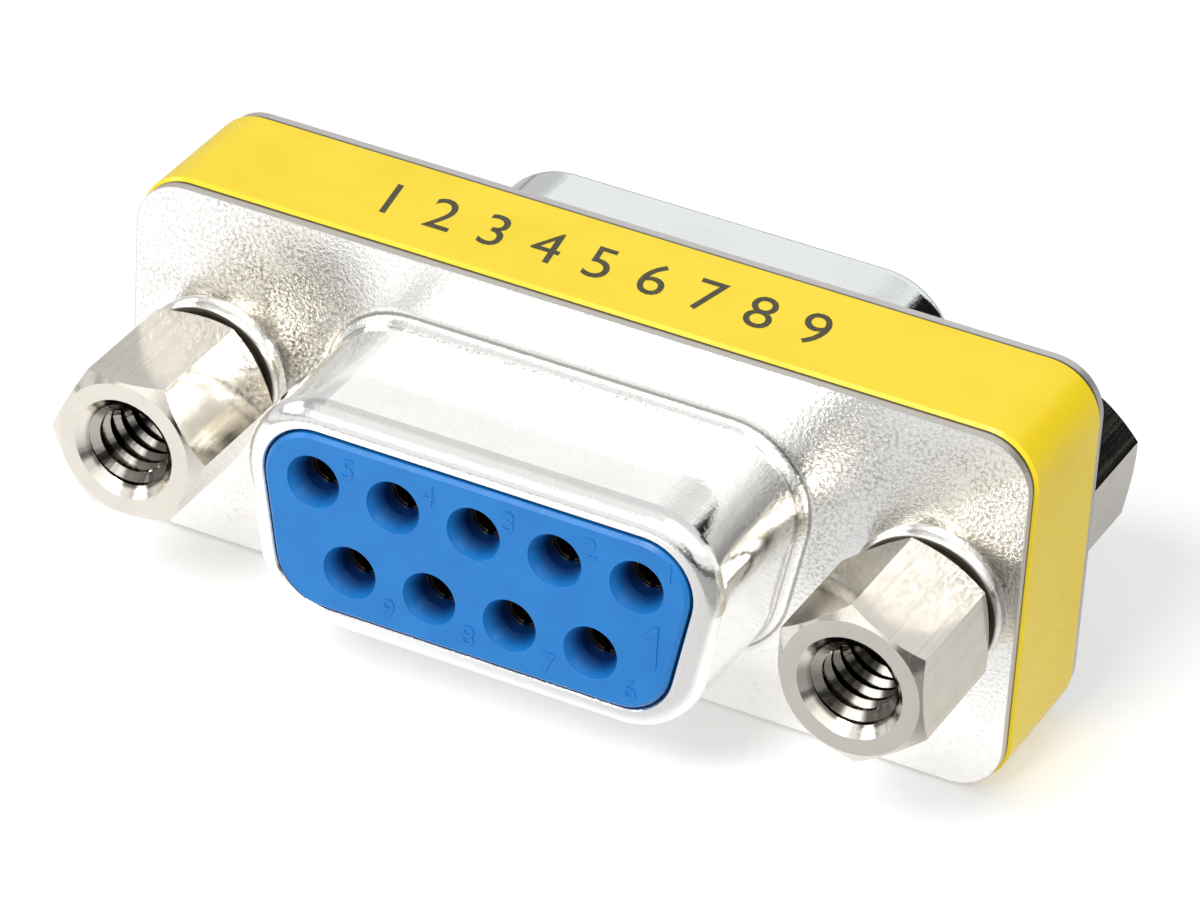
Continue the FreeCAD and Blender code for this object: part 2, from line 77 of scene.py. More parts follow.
class Wire:  # an output socket, on which shader maths is written as plain expressions
    def __init__(self, sheet, socket):
        self.sheet, self.socket = sheet, socket

    def maths(self, operation, *values):
        return self.sheet.put("ShaderNodeMath", {"operation": operation}, dict(enumerate(values)))

    def __add__(self, other):
        return self.maths("ADD", self, other)

    def __sub__(self, other):
        return self.maths("SUBTRACT", self, other)

    def __rsub__(self, other):
        return self.maths("SUBTRACT", other, self)

    def __mul__(self, other):
        return self.maths("MULTIPLY", self, other)

    def __truediv__(self, other):
        return self.maths("DIVIDE", self, other)

    def __pow__(self, other):
        return self.maths("POWER", self, other)

    __radd__, __rmul__ = __add__, __mul__

    def atLeast(self, other):
        return self.maths("MAXIMUM", self, other)

    def atMost(self, other):
        return self.maths("MINIMUM", self, other)

    def size(self):
        return self.maths("ABSOLUTE", self)

    def toward(self, other, share):
        return self + (other - self) * share

    def step(self, low, high, bottom=0.0, top=1.0):  # smooth climb from bottom to top
        return self.sheet.put("ShaderNodeMapRange", {"interpolation_type": "SMOOTHSTEP"},
                              {0: self, 1: low, 2: high, 3: bottom, 4: top})

    def between(self, rise, fall):  # climbs over the first stretch and falls over the second
        return self.step(*rise) * self.step(*fall, 1.0, 0.0)

    def bump(self, rise, under=None):  # rise in millimetres at a height of 1
        wires = {"Height": self, "Distance": rise * mm}
        if under:
            wires["Normal"] = under
        return self.sheet.put("ShaderNodeBump", None, wires)


class Sheet:  # the nodes of one material, world or geometry tree
    def __init__(self, tree):
        self.tree = tree
        tree.nodes.clear()

    def put(self, kind, settings=None, sockets=None, out=0):
        node = self.tree.nodes.new(kind)
        for name, value in (settings or {}).items():
            setattr(node, name, value)
        for key, value in (sockets or {}).items():
            if isinstance(value, Wire):
                self.tree.links.new(value.socket, node.inputs[key])
            else:
                node.inputs[key].default_value = value
        return Wire(self, node.outputs[out]) if node.outputs else None

    def place(self):  # the point on the piece, in millimetres of the CAD's frame
        point = self.put("ShaderNodeTexCoord", out="Object")
        return self.put("ShaderNodeVectorMath", {"operation": "SCALE"}, {0: point, "Scale": 1 / mm})

    def parts(self, vector):
        return [self.put("ShaderNodeSeparateXYZ", None, {0: vector}, out=axis) for axis in range(3)]

    def join(self, x, y, z):
        return self.put("ShaderNodeCombineXYZ", None, {0: x, 1: y, 2: z})

    def stretched(self, vector, scales):
        return self.put("ShaderNodeVectorMath", {"operation": "MULTIPLY"}, {0: vector, 1: scales})

    def noise(self, vector, scale, detail=2.0, rough=0.5):
        return self.put("ShaderNodeTexNoise", None,
                        {"Vector": vector, "Scale": scale, "Detail": detail, "Roughness": rough})

    def mix(self, share, first, secondHighlight, mode="MIX"):  # two colours
        colours = [value if isinstance(value, Wire) else (*value, 1) for value in (first, secondHighlight)]
        return self.put("ShaderNodeMix", {"data_type": "RGBA", "blend_type": mode},
                        {0: share, 6: colours[0], 7: colours[1]}, out=2)


def finish(name, make, **fixed):
    # A material: make gives what changes over the surface, and fixed is set on the shader itself
    material = bpy.data.materials.new(name)
    material.use_nodes = True
    sheet = Sheet(material.node_tree)
    sockets = {label.replace("_", " ").title().replace("Ior", "IOR"): value
               for label, value in fixed.items()}
    sockets.update(make(sheet))
    shader = sheet.put("ShaderNodeBsdfPrincipled", None, sockets)
    sheet.put("ShaderNodeOutputMaterial", None, {"Surface": shader})
    return material


screwPlaces = {"across": 12.495, "up": 6.35}


def screwRadius(sheet, place):
    # distance from the axis of the nearer screw, in millimetres
    x, y, z = sheet.parts(place)
    across = x.size() - screwPlaces["across"]
    up = z - screwPlaces["up"]
    return (across * across + up * up) ** 0.5, across, up, y


# Shells: stamped sheet, tin plated, with a fine frost and the marks of drawing
shellFinish = {
    "light": (0.93, 0.925, 0.905),
    "dull": (0.70, 0.68, 0.645),
    "rear": (0.82, 0.855, 0.87),            # the rear shell is coloured a little greyer
    "rearFrom": (2.0, 2.8),
    "rough": (0.35, 0.7, 0.06, 0.15),       # speckles from and to, roughness from and to
    "rougher": (0.03, 0.05, 0.25),          # and more in patches, streaks and the sheared edge
    "cloud": (0.55, 3.0),
    "patch": (0.42, 0.66),
    "frost": (7.5, 0.0115),                 # speckles to a millimetre, and how high
    "fine": (3.1, 0.35),                    # finer speckles, as a multiple of those, and their share
    "drawn": 0.3,                           # share of the frost left on the drawn nose
    "waves": (0.6, 0.012),
    "streaks": ((7.0, 0.5, 7.0), 1.6, 3.0),  # draw marks, long in Y
    "draw": (0.0014, 0.0035),               # and how high on the plate and on the nose
    "plate": (3.0, 3.5),                    # the nose begins between these, from the middle plane
    "mottle": ((0.50, 0.66), 0.4, 0.1),     # speckles that look dull, shares of speckles and patches
    "outline": (13.7, 4.55, 1.655, 1.69),   # corners' centres, where the sheared edge starts, is full
    "joint": (2.46, 2.56),                  # the joint with the band, which gets painted shade, ends between these, along Y
    "sheared": (0.62, 0.60, 0.58),
    # colour of the painted shade in the joint between the sheared edge and the band
    "paintedShade": (0.10, 0.095, 0.08),
    "seat": ((2.7, 3.3), (4.6, 8.0), 0.8),  # the frost is coarser round each screw, and how much
    "pitsAndReflection": ((0.46, 0.58), 0.62, 0.45),     # dark specks there, pitted frost with painted reflection in them: their share, and its least off patches
    "pitGrain": 0.6,                        # from the speckles, and the rest from the finer ones
    "pitsUp": (4.5, 7.5, 0.1, 1.0),         # fewer below the screws
    "pitsIn": (-15.0, -12.0, 0.2, 1.0),     # fewer at the left end
    "pitsLeft": (-6.0, 6.0, 1.5, 0.8),      # more at the left screw than at the right one
    # colour of the dark specks and of the painted shade lines at the nose's root
    "pitAndShade": (0.27, 0.255, 0.22),
    "root": ((2.845, 0.032, 0.75), (3.20, 0.05, 0.55)),  # painted shade lines along the crease at the nose's root: place, half width, share
    "rootCore": 0.4,                        # how much of the half width is darkest
    "rootClear": (2.8, 3.6),                # none on the screws' seats
}


def shellSurface(sheet):
    f = shellFinish
    place = sheet.place()
    x, y, z = sheet.parts(place)
    radius = screwRadius(sheet, place)[0]
    cloud = sheet.noise(place, *f["cloud"])
    speckle = sheet.noise(place, f["frost"][0], 2.0, 0.55)
    finer, share = f["fine"]
    fine = sheet.noise(place, f["frost"][0] * finer, 2.0)
    patch = cloud.step(*f["patch"])
    scales, density, detail = f["streaks"]
    streak = sheet.noise(sheet.stretched(place, scales), density, detail)
    wave = sheet.noise(place, f["waves"][0], 1.0)
    drawn = y.size().step(*f["plate"])
    frost = 1 - drawn * (1 - f["drawn"])
    inPatch, inStreak, inEdge = f["rougher"]
    rough = speckle.step(*f["rough"]) * frost + patch * inPatch + streak * inStreak
    rise, fall, coarser = f["seat"]
    seat = radius.between(rise, fall) * (1 - drawn)
    normal = wave.bump(f["waves"][1])
    normal = ((speckle + fine * share) * frost * (1 + seat * coarser)).bump(f["frost"][1], normal)
    onPlate, onNose = f["draw"]
    normal = (streak * (onPlate + drawn * (onNose - onPlate))).bump(1.0, normal)
    dull, speckles, patches = f["mottle"]
    colour = sheet.mix(speckle.step(*dull) * frost * speckles + patch * patches, f["light"], f["dull"])
    # dark specks round the screws' seats: pitted frost, with painted reflection of the hexagon and nose
    dark, most, least = f["pitsAndReflection"]
    pitsAndReflection = fine.toward(speckle, f["pitGrain"]).step(*dark) * seat * patch.step(0.0, 1.0, least, 1.0)
    pitsAndReflection = pitsAndReflection * z.step(*f["pitsUp"]) * x.step(*f["pitsIn"]) * most * x.step(*f["pitsLeft"])
    colour = sheet.mix(pitsAndReflection.atMost(1.0), colour, f["pitAndShade"])
    # painted shade along the crease at the nose's root
    for middle, half, share in f["root"]:
        line = (y.size() - middle).size().step(half * f["rootCore"], half, share, 0.0)
        colour = sheet.mix(line * radius.step(*f["rootClear"]), colour, f["pitAndShade"])
    greyer = sheet.mix(1.0, colour, f["rear"], "MULTIPLY")
    colour = sheet.mix(y.step(*f["rearFrom"]), colour, greyer)
    cornerX, cornerZ, near, far = f["outline"]
    aside = (x.size() - cornerX).atLeast(0.0)
    above = ((z - screwPlaces["up"]).size() - cornerZ).atLeast(0.0)
    edge = ((aside * aside + above * above) ** 0.5).step(near, far)
    colour = sheet.mix(edge, colour, f["sheared"])
    # painted shade in the joint where the sheared edge meets the band
    colour = sheet.mix(edge * y.size().step(*f["joint"], 1.0, 0.0), colour, f["paintedShade"])
    return {"Base Color": colour, "Roughness": rough + edge * inEdge, "Normal": normal}


shellTin = finish("tinPlate", shellSurface, metallic=1.0)

# Jack screws and nuts: drawn hexagon bar with turned ends, bright nickel plate
screwFinish = {
    "light": (0.74, 0.70, 0.63),
    "dull": (0.64, 0.60, 0.53),
    "rough": (0.3, 0.75, 0.05, 0.15),     # marks from and to, roughness from and to
    "rougher": 0.06,                      # and more in clouds
    "bar": ((11.0, 0.12, 11.0), 0.0018),  # drawing lines to a millimetre, long in Y, and how high
    "rings": (9.0, 0.6, 0.0022),          # turning rings to a millimetre, along the axis too, how high
    "face": (2.25, 2.37),                 # turned faces reach this far from the axis
    "cloud": (1.4, 3.0),
    "stains": ((0.35, 0.7), 0.35),
    "streaks": ((0.45, 0.7), 0.55),
    "bore": (1.45, 1.56),                 # threaded holes lie inside this, and get painted shade
    "deep": (5.6, 8.3),                   # which deepens from the mouth inward, along Y
    "shorter": 0.85,                      # rear hexagons end this much nearer the middle
    # colour of the painted shade in the threaded holes
    "boreShade": (0.050, 0.045, 0.036),
    "boreShadeShares": (0.86, 0.12),                # how dark at the mouth, and how much more inside
    "paintedHighlight": (-1.83, 0.23, 0.16, 0.34),  # painted highlight round this angle, shifted at each screw, and how wide
    "secondHighlight": (2.97, 0.25, 0.55, 0.5),    # and half as much round this one
    "left": (-0.2, 0.2),                  # which lies on the left side only
    # how far the painted highlights lift the painted shade
    "highlightLift": 0.95,
}


def screwSurface(sheet):
    f = screwFinish
    place = sheet.place()
    radius, across, up, y = screwRadius(sheet, place)
    scales, barRise = f["bar"]
    bar = sheet.noise(sheet.stretched(place, scales), 1.0, 3.0)
    outward, along, ringRise = f["rings"]
    rings = sheet.noise(sheet.join(radius * outward, y * along, 0.0), 1.0, 3.0, 0.6)
    turned = radius.step(*f["face"], 1.0, 0.0)
    cloud = sheet.noise(place, *f["cloud"])
    rough = (bar * (1 - turned) + rings * turned).step(*f["rough"]) + cloud * f["rougher"]
    normal = (bar * (1 - turned)).bump(barRise)
    normal = (rings * turned).bump(ringRise, normal)
    span, share = f["streaks"]
    streaks = (bar * (1 - turned)).step(*span) * share
    span, share = f["stains"]
    colour = sheet.mix((cloud.step(*span) * share + streaks).atMost(1.0), f["light"], f["dull"])
    inside = radius.step(*f["bore"], 1.0, 0.0)
    # side is 1 at the right screw and -1 at the left one
    side = sheet.parts(place)[0].step(-1.0, 1.0, -1.0, 1.0)
    # painted highlight rows at set angles round each threaded hole
    angle = up.maths("ARCTAN2", up, across * side)
    middle, shift, near, far = f["paintedHighlight"]
    highlightRows = (angle - middle - side * shift).size().step(near, far, 1.0, 0.0)
    middle, near, far, share = f["secondHighlight"]
    onLeft = (across * side).step(*f["left"], 1.0, 0.0)
    highlightRows = highlightRows.atLeast((angle.size() - middle).size().step(near, far, share, 0.0) * onLeft)
    depth = (y.size() + y.step(0.0, 1.0) * f["shorter"]).step(*f["deep"], 1.0, 0.0)
    least, more = f["boreShadeShares"]
    # painted shade in the threaded holes, lifted along the painted highlight rows
    colour = sheet.mix(inside * (least + depth * more) * (1 - highlightRows * f["highlightLift"]), colour, f["boreShade"])
    return {"Base Color": colour, "Roughness": rough, "Normal": normal}


screwNickel = finish("nickelPlate", screwSurface, metallic=1.0)

# Eyelets: the same plating as the shells, with the rings of the rolling tool
eyeletFinish = {
    "light": (0.84, 0.82, 0.78),
    "dull": (0.60, 0.58, 0.54),
    "rings": (6.0, 0.4, 0.010),    # rings to a millimetre, their wander, and how high
    "grain": (8.0, 0.003),
    "worn": ((0.4, 0.7), 0.4),
    "turned": ((0.45, 0.62), 0.5),
    "rough": (0.3, 0.75, 0.10, 0.22),
    "gap": (2.36, 2.46),           # the narrow gap behind the hexagon reaches this far out, and has painted shade
    "gapRough": 0.3,
    # colour of the painted shade in the gap
    "gapShade": (0.05, 0.045, 0.035),
}


def eyeletSurface(sheet):
    f = eyeletFinish
    place = sheet.place()
    radius, across, up, y = screwRadius(sheet, place)
    outward, wander, ringRise = f["rings"]
    rings = sheet.noise(sheet.join(radius * outward, across * wander, up * wander), 1.0, 3.0, 0.6)
    density, grainRise = f["grain"]
    grain = sheet.noise(place, density, 3.0)
    normal = grain.bump(grainRise, rings.bump(ringRise))
    (wornSpan, worn), (turnedSpan, turned) = f["worn"], f["turned"]
    dull = (grain.step(*wornSpan) * worn + rings.step(*turnedSpan) * turned).atMost(1.0)
    # painted shade in the gap behind the hexagon
    gap = radius.step(*f["gap"], 1.0, 0.0)
    return {"Base Color": sheet.mix(gap, sheet.mix(dull, f["light"], f["dull"]), f["gapShade"]),
            "Roughness": grain.step(*f["rough"]) + gap * f["gapRough"], "Normal": normal}


eyeletTin = finish("eyeletPlate", eyeletSurface, metallic=1.0)

# Band: smooth yellow moulding
bandFinish = {
    "light": (0.985, 0.735, 0.008),
    "deep": (0.93, 0.66, 0.004),
    "rough": (0.3, 0.7, 0.26, 0.40),
    "blend": 0.6,                        # of the fine grain in the roughness, the rest of the clouds
    "cloud": (0.35, 3.0),
    "fine": (6.0, 0.0016),
    "flow": ((0.25, 1.2, 1.2), 0.012),   # flow marks of the moulding, long in X, and how high
    "uneven": ((0.35, 0.7), 0.55),
}


def bandSurface(sheet):
    f = bandFinish
    place = sheet.place()
    cloud = sheet.noise(place, *f["cloud"])
    density, fineRise = f["fine"]
    fine = sheet.noise(place, density, 3.0)
    scales, flowRise = f["flow"]
    flow = sheet.noise(sheet.stretched(place, scales), 1.0, 2.0)
    span, share = f["uneven"]
    return {"Base Color": sheet.mix(cloud.step(*span) * share, f["light"], f["deep"]),
            "Roughness": cloud.toward(fine, f["blend"]).step(*f["rough"]),
            "Normal": flow.bump(flowRise, fine.bump(fineRise))}


bandPlastic = finish("bandPlastic", bandSurface, ior=1.5)

# Insulators: blue glass-filled moulding, a little mottled
insulatorFinish = {
    "light": (0.006, 0.205, 0.60),
    "deep": (0.003, 0.165, 0.52),
    "rough": (0.3, 0.7, 0.30, 0.48),
    "blend": 0.5,                  # of the fine grain in the roughness, the rest of the swirls
    "cloud": (0.8, 4.0),
    "fine": (12.0, 0.0030),
    "swirl": ((0.8, 0.8, 1.8), 1.7, 0.012),
    "clouds": ((0.3, 0.7), 0.6),
    "specks": ((0.5, 0.8), 0.2),
    "funnel": (8.2, 8.88, 0.92, 0.0),  # painted shade in the funnels deepens from the second to the first, along Y
    # colour of the painted shade in the funnels and holes
    "hole": (0.0005, 0.014, 0.09),
}


def insulatorSurface(sheet):
    f = insulatorFinish
    place = sheet.place()
    cloud = sheet.noise(place, *f["cloud"])
    density, fineRise = f["fine"]
    fine = sheet.noise(place, density, 4.0, 0.6)
    scales, density, swirlRise = f["swirl"]
    swirl = sheet.noise(sheet.stretched(place, scales), density, 3.0)
    (cloudSpan, clouds), (speckSpan, specks) = f["clouds"], f["specks"]
    darker = cloud.step(*cloudSpan) * clouds + fine.step(*speckSpan) * specks
    colour = sheet.mix(darker, f["light"], f["deep"])
    # painted shade deeper in the funnels and holes
    paintedShade = sheet.parts(place)[1].size().step(*f["funnel"])
    return {"Base Color": sheet.mix(paintedShade, colour, f["hole"]),
            "Roughness": swirl.toward(fine, f["blend"]).step(*f["rough"]),
            "Normal": swirl.bump(swirlRise, fine.bump(fineRise))}


insulatorPlastic = finish("insulatorPlastic", insulatorSurface, ior=1.5)

# Contacts: turned brass with a thin gold flash
contactFinish = {
    "light": (0.92, 0.70, 0.33),
    "dull": (0.72, 0.52, 0.24),
    # colour of the painted shade at the contacts' mouths
    "mouthShade": (0.10, 0.072, 0.035),
    "mouth": (5.0, 7.5, 0.0, 0.8),         # painted shade from the first to the second, along Y
    "turned": ((1.5, 14.0, 1.5), 0.003),   # turning rings, and how high
    "uneven": ((0.35, 0.7), 0.6),
    "rough": (0.3, 0.7, 0.18, 0.36),
}


def contactSurface(sheet):
    f = contactFinish
    place = sheet.place()
    scales, rise = f["turned"]
    turned = sheet.noise(sheet.stretched(place, scales), 1.0, 3.0)
    span, share = f["uneven"]
    colour = sheet.mix(turned.step(*span) * share, f["light"], f["dull"])
    # painted shade towards the mouth, where the contact lies deep in its hole
    colour = sheet.mix(sheet.parts(place)[1].size().step(*f["mouth"]), colour, f["mouthShade"])
    return {"Base Color": colour, "Roughness": turned.step(*f["rough"]), "Normal": turned.bump(rise)}


contactGold = finish("contactGold", contactSurface, metallic=1.0)

# Link board: green laminate, in which the weave shows
boardFinish = {
    "light": (0.020, 0.135, 0.045),
    "deep": (0.010, 0.085, 0.028),
    "weave": 2.2,                # threads to a millimetre
    "grain": (5.0, 3.0),
    "shares": (0.5, 0.4),        # of the weave and the grain
    "rough": (0.3, 0.7, 0.28, 0.5),
    "rise": 0.008,
}


def boardSurface(sheet):
    f = boardFinish
    place = sheet.place()
    x, y, z = sheet.parts(place)
    turn = 2 * math.pi * f["weave"]
    weave = x.maths("SINE", x * turn) * z.maths("SINE", z * turn) * 0.5 + 0.5
    grain = sheet.noise(place, *f["grain"])
    woven, grained = f["shares"]
    return {"Base Color": sheet.mix(weave * woven + grain * grained, f["light"], f["deep"]),
            "Roughness": grain.step(*f["rough"]), "Normal": (weave * woven + grain).bump(f["rise"])}


boardGreen = finish("boardLaminate", boardSurface, ior=1.5)

dress = {"shell": shellTin, "screw": screwNickel, "nut": screwNickel, "eyelet": eyeletTin,
         "band": bandPlastic, "insulator": insulatorPlastic, "board": boardGreen}
for name, node in nodes.items():
    material = dress.get(name.rsplit("_", 1)[-1], contactGold)
    if not node.material_slots:
        node.data.materials.append(material)
    for slot in node.material_slots:
        slot.material = material
print("materials on", len(nodes), "nodes")

# Threads in the four hexagons, 4-40 UNC
thread = {
    "pitch": 0.635,
    "wallRadius": 1.4225,
    "crest": 0.16,
    "base": 0.55,
    "rise": 0.27,
    "sunk": 0.01,
    "steps": 44,
    "tip": 0.05,               # the ends run out to this share of the height
    "front": (-8.12, -4.30),   # where the mouth's bevel ends along Y, and where the thread ends
    "rear": (7.23, 5.20),
}


def treeWithSizes(name, sizes):
    tree = bpy.data.node_groups.new(name, "GeometryNodeTree")
    for label, kind in sizes:
        tree.interface.new_socket(label, in_out="INPUT", socket_type="NodeSocket" + kind)
    tree.interface.new_socket("Geometry", in_out="OUTPUT", socket_type="NodeSocketGeometry")
    sheet = Sheet(tree)
    entry = tree.nodes.new("NodeGroupInput")
    return tree, sheet, {label: Wire(sheet, entry.outputs[label]) for label, kind in sizes}


def close(sheet, shape, material):
    whole = sheet.put("GeometryNodeRealizeInstances", None, {0: shape})
    painted = sheet.put("GeometryNodeSetMaterial", None, {0: whole, "Material": material})
    smooth = sheet.put("GeometryNodeSetShadeSmooth", None, {0: painted, "Shade Smooth": False})
    sheet.put("NodeGroupOutput", None, {0: smooth})


def grow(name, tree, values):
    # the tree's result as a plain mesh, with its place in its vertices
    holder = bpy.data.objects.new(name, bpy.data.meshes.new(name))
    scene.collection.objects.link(holder)
    modifier = holder.modifiers.new(name, "NODES")
    modifier.node_group = tree
    for item in tree.interface.items_tree:
        if item.in_out == "INPUT" and item.name in values:
            modifier[item.identifier] = values[item.name]
    depsgraph = bpy.context.evaluated_depsgraph_get()
    mesh = bpy.data.meshes.new_from_object(holder.evaluated_get(depsgraph), depsgraph=depsgraph)
    holder.modifiers.clear()
    holder.data = mesh
    mesh.name = name
    return holder


def makeThreadTree():
    tree, sheet, size = treeWithSizes("screwThread", [
        ("Turns", "Float"), ("Pitch", "Float"), ("Wall radius", "Float"), ("Rise", "Float"),
        ("Crest", "Float"), ("Base", "Float"), ("Place", "Vector"), ("Turned", "Rotation"),
        ("Material", "Material")])
    length = size["Turns"] * size["Pitch"]
    spiral = sheet.put("GeometryNodeCurveSpiral", None, {
        "Resolution": thread["steps"], "Rotations": size["Turns"], "Start Radius": size["Wall radius"],
        "End Radius": size["Wall radius"], "Height": length})
    upright = sheet.put("GeometryNodeSetCurveNormal", {"mode": "Z_UP"}, {0: spiral})
    factor = sheet.put("GeometryNodeSplineParameter")
    along = factor * length
    taper = (along / size["Rise"]).atMost(1.0) * ((length - along) / size["Rise"]).atMost(1.0)
    section = sheet.put("GeometryNodeCurvePrimitiveQuadrilateral", {"mode": "POINTS"}, {
        "Point 1": sheet.join(0.0, size["Base"] * -0.5, 0.0),
        "Point 2": sheet.join(0.0, size["Base"] * 0.5, 0.0),
        "Point 3": sheet.join(size["Rise"], size["Crest"] * 0.5, 0.0),
        "Point 4": sheet.join(size["Rise"], size["Crest"] * -0.5, 0.0)})
    ridge = sheet.put("GeometryNodeCurveToMesh", None, {
        0: upright, 1: section, "Scale": taper.atLeast(thread["tip"]), "Fill Caps": True})
    placed = sheet.put("GeometryNodeTransform", None, {
        0: ridge, "Translation": size["Place"], "Rotation": size["Turned"]})
    close(sheet, placed, size["Material"])
    return tree


threadTree = makeThreadTree()
for side, turn in (("front", -90), ("rear", 90)):
    outer, inner = thread[side]
    for hand, sign in (("left", -1), ("right", 1)):
        piece = grow(side + "_" + hand + "_thread", threadTree, {
            "Turns": abs(outer - inner) / thread["pitch"], "Pitch": thread["pitch"] * mm,
            "Wall radius": (thread["wallRadius"] + thread["sunk"]) * mm,
            "Rise": (thread["rise"] + thread["sunk"]) * mm,
            "Crest": thread["crest"] * mm, "Base": thread["base"] * mm,
            "Place": (sign * screwPlaces["across"] * mm, outer * mm, screwPlaces["up"] * mm),
            "Turned": Euler((math.radians(turn), 0, 0)), "Material": screwNickel})
        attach(piece, "root")
        print(piece.name, len(piece.data.polygons), "faces")

# Moulded marks beside the holes, and rims round them
face = {
    "depth": 8.87,
    "pitch": 2.77,
    "gap": 2.84,
    "proud": 0.035,
    "sunk": 0.03,
    "mouth": 0.93,
    "bead": 0.028,
    "beadProud": 0.004,
    "beadSteps": (48, 8),                    # round the hole, and round the bead
    "rows": ((1, 5, 0.5), (6, 9, -0.5)),     # first and last number, and the row's place in row gaps
    "digit": 1.0,
    "upperAside": (1.17, 0.80),
    "lowerAside": (1.38, -0.88),
    "firstAside": -0.12,                     # the first number keeps this much further from the edge
}


def lettering(name, text, size, thickness, squeeze=1.0, shear=0.0, spacing=1.0):
    # words as a mesh about the origin, read along X with Y upwards
    curve = bpy.data.curves.new(name, "FONT")
    curve.body = text
    curve.size = size * mm
    curve.extrude = thickness / 2 * mm
    curve.shear = shear
    curve.space_character = spacing
    curve.align_x, curve.align_y = "CENTER", "CENTER"
    curve.resolution_u = 4
    holder = bpy.data.objects.new(name, curve)
    scene.collection.objects.link(holder)
    depsgraph = bpy.context.evaluated_depsgraph_get()
    mesh = bpy.data.meshes.new_from_object(holder.evaluated_get(depsgraph))
    bpy.data.objects.remove(holder)
    mesh.transform(Matrix.Diagonal((squeeze, 1, 1, 1)))
    return mesh


def gather(name, meshes, material):
    # several meshes, already in place, as one piece
    joined = bpy.data.meshes.new(name)
    points, faces = [], []
    for mesh in meshes:
        start = len(points)
        points.extend(vertex.co[:] for vertex in mesh.vertices)
        faces.extend([start + index for index in polygon.vertices] for polygon in mesh.polygons)
        bpy.data.meshes.remove(mesh)
    joined.from_pydata(points, [], faces)
    joined.materials.append(material)
    piece = bpy.data.objects.new(name, joined)
    scene.collection.objects.link(piece)
    return piece


def faceTurn(rear):
    upright = Matrix.Rotation(math.radians(90), 4, "X")
    return Matrix.Rotation(math.radians(180 if rear else 0), 4, "Z") @ upright


for side, rear in (("front", False), ("rear", True)):
    marks = []
    for first, last, row in face["rows"]:
        aside, above = face["upperAside"] if row > 0 else face["lowerAside"]
        for number in range(first, last + 1):
            across = ((first + last) / 2 - number) * face["pitch"] + aside
            if number == 1:
                across += face["firstAside"]
            digit = lettering("digit", str(number), face["digit"], face["proud"] + face["sunk"])
            spot = Vector((across, screwPlaces["up"] + row * face["gap"] + above,
                           face["depth"] + (face["proud"] - face["sunk"]) / 2)) * mm
            digit.transform(faceTurn(rear) @ Matrix.Translation(spot))
            marks.append(digit)
    piece = gather(side + "_moulded_numbers", marks, insulatorPlastic)
    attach(piece, "root")


def makeRimTree():
    tree, sheet, size = treeWithSizes("funnelRims", [
        ("Pitch", "Float"), ("Row gap", "Float"), ("Mouth radius", "Float"), ("Bead radius", "Float"),
        ("Place", "Vector"), ("Turned", "Rotation"), ("Material", "Material")])
    circle, bead = (
        sheet.put("GeometryNodeCurvePrimitiveCircle", None, {"Resolution": steps, "Radius": size[label]})
        for steps, label in zip(face["beadSteps"], ("Mouth radius", "Bead radius")))
    rim = sheet.put("GeometryNodeCurveToMesh", None, {0: circle, 1: bead})
    rows = []
    for first, last, row in face["rows"]:
        start = sheet.join(size["Pitch"] * ((first - last) / 2), size["Row gap"] * row, 0.0)
        rows.append(sheet.put("GeometryNodeMeshLine", {"mode": "OFFSET"}, {
            "Count": last - first + 1, "Start Location": start,
            "Offset": sheet.join(size["Pitch"], 0.0, 0.0)}))
    both = sheet.put("GeometryNodeJoinGeometry", None, {0: rows[0]})
    sheet.tree.links.new(rows[1].socket, both.socket.node.inputs[0])
    rims = sheet.put("GeometryNodeInstanceOnPoints", None, {"Points": both, "Instance": rim})
    placed = sheet.put("GeometryNodeTransform", None, {
        0: rims, "Translation": size["Place"], "Rotation": size["Turned"]})
    close(sheet, placed, size["Material"])
    return tree


rimTree = makeRimTree()
for side, rear in (("front", False), ("rear", True)):
    depth = (face["depth"] - face["bead"] + face["beadProud"]) * (1 if rear else -1)
    piece = grow(side + "_funnel_rims", rimTree, {
        "Pitch": face["pitch"] * mm, "Row gap": face["gap"] * mm, "Mouth radius": face["mouth"] * mm,
        "Bead radius": face["bead"] * mm,
        "Place": (0, depth * mm, screwPlaces["up"] * mm),
        "Turned": faceTurn(rear).to_euler(), "Material": insulatorPlastic})
    for polygon in piece.data.polygons:
        polygon.use_smooth = True
    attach(piece, "root")
print("insulators marked")

# Printed contact numbers along the top of the band
band = {
    "top": 12.7,
    "ink": 0.006,
    "text": "1 2 3 4 5 6 7 8 9",
    "size": 2.68,
    "squeeze": 0.80,
    "spacing": 1.08,
    "shear": -0.2,
    "spot": (-0.35, -0.12),
}

inkFinish = {
    "dark": (0.045, 0.042, 0.018),
    "thin": (0.30, 0.24, 0.05),
    "grain": (9.0, 3.0, 0.65),
    "worn": ((0.52, 0.78), 0.7),
    "rough": (0.3, 0.7, 0.4, 0.65),
}


def inkSurface(sheet):
    f = inkFinish
    grain = sheet.noise(sheet.place(), *f["grain"])
    span, share = f["worn"]
    return {"Base Color": sheet.mix(grain.step(*span) * share, f["dark"], f["thin"]),
            "Roughness": grain.step(*f["rough"])}


ink = finish("printInk", inkSurface, ior=1.45)
words = lettering("band_numbers", band["text"], band["size"], band["ink"],
                  band["squeeze"], band["shear"], band["spacing"])
words.transform(Matrix.Translation(Vector((*band["spot"], band["top"])) * mm))
piece = gather("band_numbers", [words], ink)
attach(piece, "root")
print("band printed")

# Stage: white floor, soft lamps, and a bright room for the plating to mirror
studio = {
    "floorReach": 1500,
    "floorColour": (0.80, 0.80, 0.80),
    "floorGlow": 0.34,
    "floorDark": (0.05, 0.05, 0.05),
    "room": 0.66,
}

